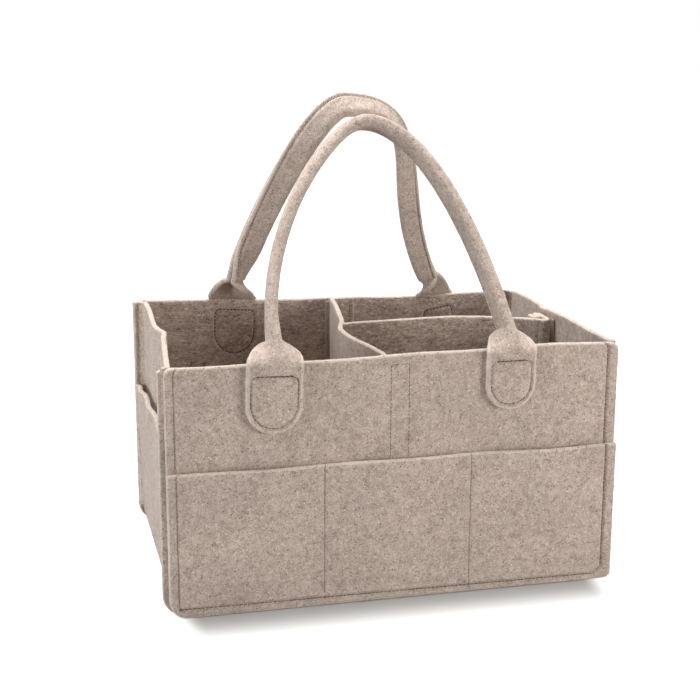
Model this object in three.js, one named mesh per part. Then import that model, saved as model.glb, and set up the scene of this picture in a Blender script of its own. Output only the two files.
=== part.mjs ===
// A diaper caddy sewn from thick wool felt: two panels, a gusset strip, outside pockets,
// two folded-strip handles and a divider insert held by hook and loop tape.
// Millimetres, +Z up, +Y to the back. The origin is the middle of the underside.
import * as THREE from 'three';

// Body
const width = 330; // over the seam margins
const depth = 221; // over the flat pocket panels, whose mouths swell further
const height = 180; // underside to rim
const felt = 4; // thickness of every felt piece
const clearance = 0.3; // between two plies that lie on each other
const seamMargin = 7; // from the end walls and base to the raw edges
const seamTurnInside = 0.6; // inside radius where the gusset's edges turn out
const baseCornerInside = 3; // inside radius between the base and the end walls
const rimRadius = 2; // upper corners of the panels

// End walls bow inwards, with a soft crease in the middle of the depth
const leftBow = 6;
const rightBow = 3.5;
const creaseSoftness = 12;
const bowFullHeight = 90; // the bow grows from the base up to here

// Outside pockets
const pocketHeight = 106;
const pocketStitch = 54; // the two upright stitch lines lie this far from the middle
const pocketSwell = 2; // how far the mouth of each pocket stands forward
const endPocketHeight = 120;
const endPocketSlack = 1.2; // the mouth stands off further than the sewn bottom
const endPocketBulge = 1;

// Handles: one felt strip each, flat at its sewn ends and folded in half between them
const stripWidth = 40;
const tabSpacing = 172; // between the middles of the two sewn ends
const tabLength = 39.5; // sewn length
const freeDrop = 6.5; // the strip is free from this far below the rim
const foldInside = 0.35; // inside radius of the lengthwise fold
const foldLength = 21; // length over which the flat strip closes
const foldPower = 1.4;
const rimBendInside = 8; // inside radius of the strip's bend over the rim
const rollLength = 45; // length over which the folded strip rolls over
const legStart = 8; // the arch leaves its straight ends this far above the rim

// Each arch: lean inwards, roll of the folded strip, crown on the strip's own surface,
// and the tilt inwards and pull of its two legs (degrees and millimetres)
const frontArch = {
  lean: 26, roll: 0, crownX: -9, crownUp: 183,
  left: { tilt: -4.7, pull: 90, crownPull: 25 },
  right: { tilt: 12.6, pull: 105, crownPull: 37 },
};
const backArch = {
  lean: 20, roll: 70, crownX: -6.5, crownUp: 182.5,
  left: { tilt: 13.6, pull: 74, crownPull: 27 },
  right: { tilt: 21.5, pull: 107, crownPull: 69 },
};

// Divider insert
const insertDrop = 3; // top of the insert below the rim
const insertBendInside = 3; // inside radius of the folded flanges
const mainFlange = 20; // length of the folded ends of the main divider
const mainEndX = -4;
const mainBow = 13.5; // towards the left
const mainKink = -10; // the cross divider pushes the main divider over here
const kinkSoftness = 10;
const crossFlange = 18; // folded right end, turned to the front
const crossOverlap = 24; // sewn left end, laid along the main divider
const crossSweep = 20; // round stretch between the sewn end and the straight one
const crossRunY = 15; // middle of the straight stretch at its left
const crossEndY = 9; // and at its right

// Hook and loop tape
const loopWidth = 22;
const hookWidth = 14;
const tapeThickness = 1.2;
const loopDrop = 3; // top of the loop tape below the rim
const loopLength = 147;
const hookDrop = 7; // top of the hook tape below the insert's top
const hookLength = 130;

// Places worked out from the sizes above
const halfDepth = depth / 2;
const plyPitch = felt + clearance;
const plyOuter = (ply) => halfDepth - ply * plyPitch; // 0 pocket and tabs, 1 panel, 2 gusset, 3 end pocket
const panelInner = plyOuter(1) - felt;
const wallOffset = seamMargin + felt / 2; // raw edge to the middle of the end wall
const wallMiddle = width / 2 - wallOffset;
const baseTop = wallOffset + felt / 2;
const gussetCorner = baseCornerInside + felt / 2;
const cornerRadius = gussetCorner + wallOffset; // lower corners of the panels
const seamTurn = seamTurnInside + felt / 2;
const freeHeight = height - freeDrop;
const foldRadius = foldInside + felt / 2;
const foldArc = (foldRadius * Math.PI) / 2;
const foldDepth = foldRadius + stripWidth / 2 - foldArc;
const rimBend = rimBendInside + felt / 2;
const insertBottom = baseTop + clearance;
const insertTop = height - insertDrop;
const insertBend = insertBendInside + felt / 2;

const feltColour = 0xb3a296;
const tapeColour = 0xa89b8f;
const roughness = 0.95;

// Steps along the curved stretches
const bendSteps = 4;
const wallSteps = 5;
const archSteps = 34;
const webSteps = 20;

const caddy = new THREE.Group();
caddy.name = 'diaper_caddy';

function addPiece(name, geometry, color = feltColour, group = caddy) {
  const material = new THREE.MeshStandardMaterial({ color, roughness, metalness: 0 });
  const mesh = new THREE.Mesh(geometry, material);
  mesh.name = name;
  group.add(mesh);
}

// A soft tent: 1 at the ridge, 0 at the given reach on both sides
function tent(offset, reach, softness) {
  const rise = (value) => Math.hypot(value, softness) - softness;
  return 1 - rise(offset) / rise(reach);
}

function evenSteps(from, to, count) {
  return Array.from({ length: count + 1 }, (_, i) => from + ((to - from) * i) / count);
}

// A closed solid from a grid of points on the middle of a felt sheet, with their normals
function feltSheet(rows, cols, middle, thickness = felt) {
  const positions = [];
  for (const side of [0.5, -0.5]) {
    for (let i = 0; i < rows; i++) {
      for (let j = 0; j < cols; j++) {
        const { point, normal } = middle(i, j);
        positions.push(...point.clone().addScaledVector(normal, side * thickness).toArray());
      }
    }
  }
  const index = [];
  const at = (face, i, j) => face * rows * cols + i * cols + j;
  const quad = (a, b, c, d) => index.push(a, b, c, a, c, d);
  for (let i = 0; i < rows - 1; i++) {
    for (let j = 0; j < cols - 1; j++) {
      quad(at(0, i, j), at(0, i, j + 1), at(0, i + 1, j + 1), at(0, i + 1, j));
      quad(at(1, i, j), at(1, i + 1, j), at(1, i + 1, j + 1), at(1, i, j + 1));
    }
    quad(at(0, i, 0), at(0, i + 1, 0), at(1, i + 1, 0), at(1, i, 0));
    quad(at(0, i, cols - 1), at(1, i, cols - 1), at(1, i + 1, cols - 1), at(0, i + 1, cols - 1));
  }
  for (let j = 0; j < cols - 1; j++) {
    quad(at(0, 0, j), at(1, 0, j), at(1, 0, j + 1), at(0, 0, j + 1));
    quad(at(0, rows - 1, j), at(0, rows - 1, j + 1), at(1, rows - 1, j + 1), at(1, rows - 1, j));
  }
  return closedGeometry(positions, index);
}

// Turns every face outwards, whichever way the grid ran
function closedGeometry(positions, index) {
  const corner = (k) => new THREE.Vector3().fromArray(positions, 3 * k);
  let volume = 0;
  for (let k = 0; k < index.length; k += 3) {
    const [a, b, c] = [corner(index[k]), corner(index[k + 1]), corner(index[k + 2])];
    volume += a.dot(b.cross(c));
  }
  if (volume < 0) index.reverse();
  const geometry = new THREE.BufferGeometry();
  geometry.setAttribute('position', new THREE.Float32BufferAttribute(positions, 3));
  geometry.setIndex(index);
  geometry.computeVertexNormals();
  return geometry;
}

// An upright felt sheet that follows a line in plan; lineAt gives the line's points at a height
function uprightSheet(heights, lineAt) {
  const lines = heights.map((z) => lineAt(z));
  const middle = (i, j) => {
    const line = lines[i];
    const before = line[Math.max(j - 1, 0)];
    const after = line[Math.min(j + 1, line.length - 1)];
    const here = line[j];
    const first = here.clone().sub(before).normalize();
    const second = after.clone().sub(here).normalize();
    const along = first.clone().add(second).normalize();
    const square = j === 0 || j === line.length - 1 ? 1 : 1 / along.dot(first);
    const normal = new THREE.Vector3(along.y * square, -along.x * square, 0);
    return { point: new THREE.Vector3(here.x, here.y, heights[i]), normal };
  };
  return feltSheet(heights.length, lines[0].length, middle);
}

// A bend in plan, from one angle round its centre to another
function bendPoints(centre, radius, fromAngle, toAngle) {
  return evenSteps(fromAngle, toAngle, bendSteps).map(
    (angle) => new THREE.Vector2(centre.x + radius * Math.cos(angle), centre.y + radius * Math.sin(angle)),
  );
}

// A flat felt plate in the XZ plane whose back face lies at the given y
function uprightPlate(shape, backY, thickness = felt) {
  const options = { depth: thickness, bevelEnabled: false, curveSegments: 8 };
  const geometry = new THREE.ExtrudeGeometry(shape, options);
  geometry.rotateX(Math.PI / 2);
  geometry.translate(0, backY, 0);
  return geometry;
}

// Panels: flat, with rounded lower corners
function panelShape(top) {
  const half = width / 2;
  const shape = new THREE.Shape();
  shape.moveTo(-half + cornerRadius, 0);
  shape.lineTo(half - cornerRadius, 0);
  shape.absarc(half - cornerRadius, cornerRadius, cornerRadius, -Math.PI / 2, 0, false);
  shape.absarc(half - rimRadius, top - rimRadius, rimRadius, 0, Math.PI / 2, false);
  shape.absarc(-half + rimRadius, top - rimRadius, rimRadius, Math.PI / 2, Math.PI, false);
  shape.absarc(-half + cornerRadius, cornerRadius, cornerRadius, Math.PI, 1.5 * Math.PI, false);
  return shape;
}

addPiece('front_panel', uprightPlate(panelShape(height), -panelInner));
addPiece('back_panel', uprightPlate(panelShape(height), plyOuter(1)));

// Gusset: one strip down the left end, across the base and up the right end,
// with both long edges turned out and sewn behind the panels' margins
function gussetLine() {
  const corner = (side, from, to) =>
    evenSteps(from, to, bendSteps).map((angle) => ({
      x: side * (wallMiddle - gussetCorner) + gussetCorner * Math.cos(angle),
      z: wallOffset + gussetCorner + gussetCorner * Math.sin(angle),
      out: new THREE.Vector3(Math.cos(angle), 0, Math.sin(angle)),
    }));
  const wallHeights = evenSteps(height, wallOffset + gussetCorner, wallSteps).slice(0, -1);
  const left = wallHeights.map((z) => ({ x: -wallMiddle, z, out: new THREE.Vector3(-1, 0, 0) }));
  const right = wallHeights.map((z) => ({ x: wallMiddle, z, out: new THREE.Vector3(1, 0, 0) }));
  const lowerLeft = corner(-1, Math.PI, 1.5 * Math.PI);
  const lowerRight = corner(1, -0.5 * Math.PI, 0);
  return [...left, ...lowerLeft, ...lowerRight, ...right.reverse()];
}

// Half of the line across the strip, from the turned-out edge to the middle of the depth
function turnedEdge(edgeOut, flatOut, flangeY, bendRadius) {
  const rows = [{ out: edgeOut, y: flangeY, normalOut: 0, normalY: 1 }];
  for (const angle of evenSteps(0, Math.PI / 2, bendSteps)) {
    rows.push({
      out: flatOut + bendRadius * (1 - Math.sin(angle)),
      y: flangeY + bendRadius * (1 - Math.cos(angle)),
      normalOut: Math.sin(angle),
      normalY: Math.cos(angle),
    });
  }
  const flatStart = flangeY + bendRadius;
  for (const y of evenSteps(flatStart, 0, wallSteps).slice(1)) {
    rows.push({ out: flatOut, y, normalOut: 1, normalY: 0 });
  }
  return rows;
}

function bothEdges(half) {
  const mirrored = half.slice(0, -1).map((row) => ({ ...row, y: -row.y, normalY: -row.normalY }));
  return [...half, ...mirrored.reverse()];
}

const gussetFlangeY = -(plyOuter(2) - felt / 2);
const gussetReach = -gussetFlangeY - seamTurn;

function wallBow(x, y, z) {
  const amount = x < 0 ? leftBow : rightBow;
  const rise = THREE.MathUtils.smoothstep(z, baseTop, bowFullHeight);
  const across = Math.max(tent(y, gussetReach, creaseSoftness), 0);
  return amount * rise * across;
}

function gusset() {
  const line = gussetLine();
  const rows = bothEdges(turnedEdge(wallOffset, 0, gussetFlangeY, seamTurn));
  const middle = (i, j) => {
    const { out, y, normalOut, normalY } = rows[i];
    const at = line[j];
    const shift = out - wallBow(at.x, y, at.z) * Math.abs(at.out.x);
    const point = new THREE.Vector3(at.x, y, at.z).addScaledVector(at.out, shift);
    const normal = at.out.clone().multiplyScalar(normalOut);
    normal.y = normalY;
    return { point, normal };
  };
  return feltSheet(rows.length, line.length, middle);
}
addPiece('gusset', gusset());

// Front and back pockets: one panel each, sewn down along its sides, its lower edge and
// two upright lines, so that three mouths swell a little along the top
function pocketPanel(facing) {
  const half = width / 2;
  const cornerHeights = evenSteps(0, cornerRadius, bendSteps);
  const heights = [...cornerHeights, ...evenSteps(cornerRadius, pocketHeight, wallSteps).slice(1)];
  const sewn = [-half, -pocketStitch, pocketStitch, half];
  const cols = [];
  for (let k = 0; k < 3; k++) {
    cols.push(...evenSteps(sewn[k], sewn[k + 1], wallSteps + 1).slice(k === 0 ? 0 : 1));
  }
  const middle = (i, j) => {
    const z = heights[i];
    const below = Math.max(cornerRadius - z, 0);
    const cut = cornerRadius - Math.sqrt(cornerRadius ** 2 - below ** 2);
    const x = (cols[j] * (half - cut)) / half;
    const cell = sewn.findIndex((_, k) => cols[j] <= sewn[k + 1]);
    const across = (cols[j] - sewn[cell]) / (sewn[cell + 1] - sewn[cell]);
    const rise = THREE.MathUtils.smoothstep(z, cornerRadius, pocketHeight);
    const swell = pocketSwell * rise * Math.sin(Math.PI * across) ** 2;
    const y = facing * (plyOuter(0) - felt / 2 + swell);
    return { point: new THREE.Vector3(x, y, z), normal: new THREE.Vector3(0, facing, 0) };
  };
  return feltSheet(heights.length, cols.length, middle);
}
addPiece('front_pocket_panel', pocketPanel(-1));
addPiece('back_pocket_panel', pocketPanel(1));

// End pockets: sewn into the four corner seams behind the gusset, and to the wall at the bottom
function endPocket(side) {
  const flangeY = -(plyOuter(3) - felt / 2);
  const heights = evenSteps(cornerRadius, endPocketHeight, wallSteps);
  const lineAt = (z) => {
    const rise = (z - cornerRadius) / (endPocketHeight - cornerRadius);
    const flat = plyPitch + endPocketSlack * rise;
    const rows = bothEdges(turnedEdge(wallOffset, flat, flangeY, seamTurn));
    return rows.map(({ out, y, normalOut }) => {
      const bulge = endPocketBulge * rise * normalOut * Math.cos((Math.PI * y) / (2 * flangeY));
      return new THREE.Vector2(side * (wallMiddle + out + bulge), y);
    });
  };
  return uprightSheet(heights, lineAt);
}
addPiece('left_end_pocket', endPocket(-1));
addPiece('right_end_pocket', endPocket(1));

// Sewn ends of the handle strips
function tabShape(centreX) {
  const half = stripWidth / 2;
  const top = freeHeight - clearance;
  const shape = new THREE.Shape();
  shape.moveTo(centreX + half, top);
  shape.lineTo(centreX - half, top);
  shape.absarc(centreX, freeHeight - tabLength + half, half, Math.PI, 2 * Math.PI, false);
  return shape;
}
for (const [end, facing] of [['front', -1], ['back', 1]]) {
  for (const [hand, side] of [['left', -1], ['right', 1]]) {
    const backFace = facing < 0 ? -plyOuter(0) + felt : plyOuter(0);
    addPiece(`${end}_${hand}_tab`, uprightPlate(tabShape((side * tabSpacing) / 2), backFace));
  }
}

// The strip's surface: upright against the wall, bent over the rim, then leaning inwards.
// Gives the place and directions at a distance up the strip from its free line.
function stripSurface(distance, lean) {
  const angle = THREE.MathUtils.degToRad(lean);
  const upright = freeDrop + clearance;
  const bent = rimBend * angle;
  const turn = THREE.MathUtils.clamp((distance - upright) / bent, 0, 1) * angle;
  const beyond = Math.max(distance - upright - bent, 0);
  return {
    inward: rimBend * (1 - Math.cos(turn)) + beyond * Math.sin(turn),
    up: Math.min(distance, upright) + rimBend * Math.sin(turn) + beyond * Math.cos(turn),
    turn,
  };
}

// The line of the strip on that surface: two straight ends and an arch of two arcs
function archLine({ crownX, crownUp, left, right }) {
  const foot = (side, up) => new THREE.Vector2((side * tabSpacing) / 2, up);
  const legEnd = freeDrop + legStart;
  const crown = new THREE.Vector2(crownX, crownUp);
  const legPull = (side, { tilt, pull }) => {
    const angle = THREE.MathUtils.degToRad(tilt);
    const step = new THREE.Vector2(-side * Math.sin(angle), Math.cos(angle));
    return foot(side, legEnd).addScaledVector(step, pull);
  };
  const crownPull = (side, leg) => new THREE.Vector2(crownX + side * leg.crownPull, crownUp);
  const rise = [foot(-1, legEnd), legPull(-1, left), crownPull(-1, left), crown];
  const fall = [crown, crownPull(1, right), legPull(1, right), foot(1, legEnd)];
  const path = new THREE.CurvePath();
  path.add(new THREE.LineCurve(foot(-1, 0), foot(-1, legEnd)));
  path.add(new THREE.CubicBezierCurve(...rise));
  path.add(new THREE.CubicBezierCurve(...fall));
  path.add(new THREE.LineCurve(foot(1, legEnd), foot(1, 0)));
  return path;
}

// A point across the strip when its two halves are turned up by the fold angle
function foldedSection(across, fold) {
  const side = Math.sign(across);
  const distance = Math.abs(across);
  const angle = Math.min(distance / foldRadius, fold);
  const straight = distance - foldRadius * angle;
  return {
    sideways: side * (foldRadius * Math.sin(angle) + straight * Math.cos(angle)),
    inward: foldRadius * (1 - Math.cos(angle)) + straight * Math.sin(angle),
    normalSideways: side * Math.sin(angle),
    normalInward: -Math.cos(angle),
  };
}

function handle(facing, arch) {
  const path = archLine(arch);
  const total = path.getLength();
  const foldStart = freeDrop;
  const foldEnd = foldStart + foldLength;
  const ends = [0, ...evenSteps(foldStart, foldEnd, wallSteps + 1)];
  const between = evenSteps(foldEnd, total - foldEnd, archSteps).slice(1, -1);
  const stations = [...ends, ...between, ...ends.map((s) => total - s).reverse()];
  const half = stripWidth / 2;
  const halfSteps = [foldArc / 2, foldArc, (foldArc + half) / 2, half];
  const acrossSteps = [...halfSteps.map((step) => -step).reverse(), 0, ...halfSteps];
  const middle = (i, j) => {
    const s = stations[i];
    const fromEnd = Math.min(s, total - s);
    const closed = THREE.MathUtils.clamp((fromEnd - foldStart) / foldLength, 0, 1) ** foldPower;
    const turned = THREE.MathUtils.smoothstep(fromEnd, foldEnd, foldEnd + rollLength);
    const rollAngle = THREE.MathUtils.degToRad(arch.roll) * turned;
    const section = foldedSection(acrossSteps[j], (closed * Math.PI) / 2);
    const centre = foldDepth / 2;
    const [cos, sin] = [Math.cos(rollAngle), Math.sin(rollAngle)];
    const sideways = section.sideways * cos + (section.inward - centre) * sin;
    const inward = centre + (section.inward - centre) * cos - section.sideways * sin;
    const normalSideways = section.normalSideways * cos + section.normalInward * sin;
    const normalInward = section.normalInward * cos - section.normalSideways * sin;

    const at = path.getPointAt(s / total);
    const along = path.getTangentAt(s / total);
    const surface = stripSurface(at.y, arch.lean);
    const up = new THREE.Vector3(0, -facing * Math.sin(surface.turn), Math.cos(surface.turn));
    const inwards = new THREE.Vector3(0, -facing * Math.cos(surface.turn), -Math.sin(surface.turn));
    const outwards = new THREE.Vector3(-along.y, 0, 0).addScaledVector(up, along.x);
    const point = new THREE.Vector3(
      at.x,
      facing * (plyOuter(0) - felt / 2 - surface.inward),
      freeHeight + surface.up,
    );
    point.addScaledVector(outwards, sideways).addScaledVector(inwards, inward);
    const normal = outwards.multiplyScalar(normalSideways).addScaledVector(inwards, normalInward);
    return { point, normal };
  };
  return feltSheet(stations.length, acrossSteps.length, middle);
}
addPiece('front_handle', handle(-1, frontArch));
addPiece('back_handle', handle(1, backArch));

// Main divider: a web from front to back, bowed to the left, with both ends folded to the right
const tapeStack = 2 * tapeThickness + 3 * clearance; // wall, loop tape, hook tape, divider
const mainFlangeY = panelInner - tapeStack - felt / 2;

function mainWebX(y) {
  const reach = (y < mainKink ? -mainFlangeY : mainFlangeY) - mainKink;
  return mainEndX - mainBow * tent(y - mainKink, reach, kinkSoftness);
}

function mainLine() {
  const cornerX = mainEndX + insertBend;
  const cornerY = mainFlangeY - insertBend;
  const tip = mainEndX + mainFlange;
  const bend = (side, from, to) => bendPoints({ x: cornerX, y: side * cornerY }, insertBend, from, to);
  const front = [new THREE.Vector2(tip, -mainFlangeY), ...bend(-1, -Math.PI / 2, -Math.PI)];
  const back = [...bend(1, Math.PI, Math.PI / 2), new THREE.Vector2(tip, mainFlangeY)];
  const blend = (y) => THREE.MathUtils.smoothstep(cornerY - Math.abs(y), 0, 2 * insertBend);
  const web = evenSteps(-cornerY, cornerY, webSteps)
    .slice(1, -1)
    .map((y) => new THREE.Vector2(THREE.MathUtils.lerp(mainEndX, mainWebX(y), blend(y)), y));
  return [...front, ...web, ...back];
}
addPiece('main_divider', uprightSheet([insertBottom, insertTop], mainLine));

// Cross divider: sewn along the main divider at its left end, folded forward at its right end
const rightWallX = wallMiddle - felt / 2 - rightBow;
const crossFlangeX = rightWallX - tapeStack - felt / 2;

function crossLine() {
  const bendCentre = { x: crossFlangeX - insertBend, y: crossEndY - insertBend };
  const sewnStart = mainKink - crossOverlap / 2;
  const sewn = evenSteps(sewnStart, sewnStart + crossOverlap, wallSteps).map((y) => {
    const slope = mainWebX(y + 0.5) - mainWebX(y - 0.5);
    const away = new THREE.Vector2(1, -slope).normalize().multiplyScalar(plyPitch);
    return new THREE.Vector2(mainWebX(y), y).add(away);
  });
  const sewnEnd = sewn[sewn.length - 1];
  const leaving = sewnEnd.clone().sub(sewn[sewn.length - 2]).setLength(crossSweep / 2);
  const runStart = new THREE.Vector2(sewnEnd.x + crossSweep, crossRunY);
  const runEnd = new THREE.Vector2(bendCentre.x, crossEndY);
  const runMiddleX = (runStart.x + runEnd.x) / 2;
  const path = new THREE.CurvePath();
  path.add(
    new THREE.CubicBezierCurve(
      sewnEnd,
      sewnEnd.clone().add(leaving),
      new THREE.Vector2(runStart.x - crossSweep / 2, crossRunY),
      runStart,
    ),
  );
  path.add(
    new THREE.CubicBezierCurve(
      runStart,
      new THREE.Vector2(runMiddleX, crossRunY),
      new THREE.Vector2(runMiddleX, crossEndY),
      runEnd,
    ),
  );
  const run = path.getSpacedPoints(webSteps).slice(1, -1);
  const bend = bendPoints(bendCentre, insertBend, Math.PI / 2, 0);
  const tip = new THREE.Vector2(crossFlangeX, crossEndY - crossFlange);
  return [...sewn, ...run, ...bend, tip];
}
addPiece('cross_divider', uprightSheet([insertBottom, insertTop], crossLine));

// Loop tape on the front, back and right walls, and hook tape on the insert's folded ends
function tape(tapeWidth, top, length, centreX, backY) {
  const half = tapeWidth / 2;
  const shape = new THREE.Shape();
  shape.moveTo(centreX - half, top - length);
  shape.lineTo(centreX + half, top - length);
  shape.lineTo(centreX + half, top);
  shape.lineTo(centreX - half, top);
  return uprightPlate(shape, backY, tapeThickness);
}
const loopTape = (centreX, backY) => tape(loopWidth, height - loopDrop, loopLength, centreX, backY);
const hookTape = (centreX, backY) => tape(hookWidth, insertTop - hookDrop, hookLength, centreX, backY);

const loopY = panelInner - clearance;
const hookY = loopY - tapeThickness - clearance;
const mainHookX = mainEndX + mainFlange - hookWidth / 2;
addPiece('front_loop_tape', loopTape(0, -loopY + tapeThickness), tapeColour);
addPiece('back_loop_tape', loopTape(0, loopY), tapeColour);
addPiece('front_hook_tape', hookTape(mainHookX, -hookY + tapeThickness), tapeColour);
addPiece('back_hook_tape', hookTape(mainHookX, hookY), tapeColour);

// The right wall's tapes are made facing the front and turned to face the left
const rightTapes = new THREE.Group();
rightTapes.rotation.z = -Math.PI / 2;
caddy.add(rightTapes);
const loopX = rightWallX - clearance;
const hookX = loopX - tapeThickness - clearance;
const crossHookY = crossEndY - crossFlange + hookWidth / 2;
addPiece('right_loop_tape', loopTape(-crossHookY, loopX), tapeColour, rightTapes);
addPiece('right_hook_tape', hookTape(-crossHookY, hookX), tapeColour, rightTapes);

export default caddy;
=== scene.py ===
from math import cos, pi, radians, sin, sqrt

import bpy
import numpy as np
from mathutils import Matrix, Vector


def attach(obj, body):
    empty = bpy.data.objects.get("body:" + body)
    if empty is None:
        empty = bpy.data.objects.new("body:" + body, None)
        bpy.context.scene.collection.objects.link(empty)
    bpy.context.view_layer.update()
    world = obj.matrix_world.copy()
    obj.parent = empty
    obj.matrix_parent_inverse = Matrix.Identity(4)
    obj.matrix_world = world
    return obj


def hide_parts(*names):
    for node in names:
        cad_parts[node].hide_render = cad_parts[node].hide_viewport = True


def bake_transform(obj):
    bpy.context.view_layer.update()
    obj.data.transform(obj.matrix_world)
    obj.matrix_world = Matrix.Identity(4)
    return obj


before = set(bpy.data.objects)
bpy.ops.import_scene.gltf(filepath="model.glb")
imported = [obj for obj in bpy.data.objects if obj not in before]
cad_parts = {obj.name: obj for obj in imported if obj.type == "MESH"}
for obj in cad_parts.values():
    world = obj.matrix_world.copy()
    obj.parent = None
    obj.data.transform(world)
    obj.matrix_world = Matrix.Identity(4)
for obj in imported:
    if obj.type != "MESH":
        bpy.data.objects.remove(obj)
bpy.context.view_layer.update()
mm = 0.001
linePitch = 0.5  # mm between the samples of a drawn line
print("frame loaded:", len(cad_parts), "nodes")

# Sizes that the felt pieces share, in millimetres
halfWidth = 164.2  # to the raw side edges of the long panels
halfDepth = 110.5  # to the outer face of the flat pockets
height = 180
felt = 4
plyPitch = 4.3
leftCorner, rightCorner = 12, 4.5  # lower corners of the long panels, the left ones worn round
endWallX = 156  # middle of the end walls
seamTurn = 2.6  # radius where the gusset's edges turn out
baseTurn = 5
gussetDrop = 166  # straight length of the gusset's ends, down from the rim
seamX = 158  # stitches of the corner seams
rightMargin = 2.2  # how much wider the right margins of the long panels are than cut to size
backLeftMargin = -2.6  # the same at the left of the back panel, where it is narrower
edgeRound = 1.7  # how far in from a cut edge the felt is rounded
rimWaves = [(0.35, 16, 1), (0.3, 37, 0.4)]  # height, length and start
rimWaveFrom = 150  # up from here the walls follow the waves of their rims


def plyMiddle(ply):  # 0 pocket and tabs, 1 panel, 2 gusset, 3 end pocket
    return halfDepth - felt / 2 - ply * plyPitch


def smooth(low, high, value):
    t = np.clip((value - low) / (high - low), 0, 1)
    return t * t * (3 - 2 * t)


def soften(values, spread):  # evens a row of samples out, its two ends stay where they are
    bell = np.exp(-(np.arange(-3 * spread, 3 * spread + 1) / spread) ** 2)
    return np.convolve(np.pad(values, 3 * spread, "reflect", reflect_type="odd"), bell / bell.sum(), "valid")


def reachAlong(path):
    return np.concatenate([[0], np.cumsum(np.linalg.norm(np.diff(path, axis=0), axis=1))])


def resample(path, pitch):
    path = np.asarray(path, float)
    reach = reachAlong(path)
    at = np.linspace(0, reach[-1], max(2, round(reach[-1] / pitch) + 1))
    return np.stack([np.interp(at, reach, path[:, k]) for k in range(path.shape[1])], 1)


def rimWave(along, share):
    return share * sum(high * np.sin(along / length + start) for high, length, start in rimWaves)


# Materials

def hexColour(code):
    channels = [int(code[i:i + 2], 16) / 255 for i in (1, 3, 5)]
    linear = [c / 12.92 if c <= 0.04045 else ((c + 0.055) / 1.055) ** 2.4 for c in channels]
    return (*linear, 1)


def addNode(tree, kind, values=None, links=None, output=0, **settings):
    node = tree.nodes.new("ShaderNode" + kind)
    for key, value in settings.items():
        setattr(node, key, value)
    for key, value in (values or {}).items():
        node.inputs[key].default_value = value
    for key, source in (links or {}).items():
        tree.links.new(source, node.inputs[key])
    return node.outputs[output]


def newMaterial(name, surface):
    material = bpy.data.materials.new(name)
    material.use_nodes = True
    tree = material.node_tree
    shader = tree.nodes["Principled BSDF"]
    for key, value in surface.items():
        shader.inputs[key].default_value = value
    place = addNode(tree, "TexCoord", output="Object")
    return material, tree, shader, place


feltLook = {
    "dark": "#85746a",
    "base": "#b5a499",
    "light": "#d8cdc4",
    "stops": (0.345, 0.5, 0.685),  # the tones that have these three colours
    "fibre": 1.0, "fibreShare": 0.68,  # mm, drawn coarser than real wool fibre so that it shows
    "clump": 6, "clumpShare": 0.32,
    "fleck": 1.5, "fleckEdge": (0.55, 0.2), "fleckStrength": 0.75,
    # Single dyed fibres of the heather: their colour, and the cells of the pattern that have it
    "flecks": [("#6d5c50", 0.86, 0.90), ("#dbd0c6", 0.11, 0.07)],
    "cloud": 34, "cloudRange": (0.3, 0.7), "cloudShade": (0.93, 1.06),
    "sway": 16, "swayBy": 6,  # the fibres wander over this length, by this much
    "bump": 0.45, "bumpStrength": 0.8,
    "surface": {"Roughness": 0.96, "Specular IOR Level": 0.12, "Sheen Weight": 0.15, "Sheen Roughness": 0.6},
}


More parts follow.
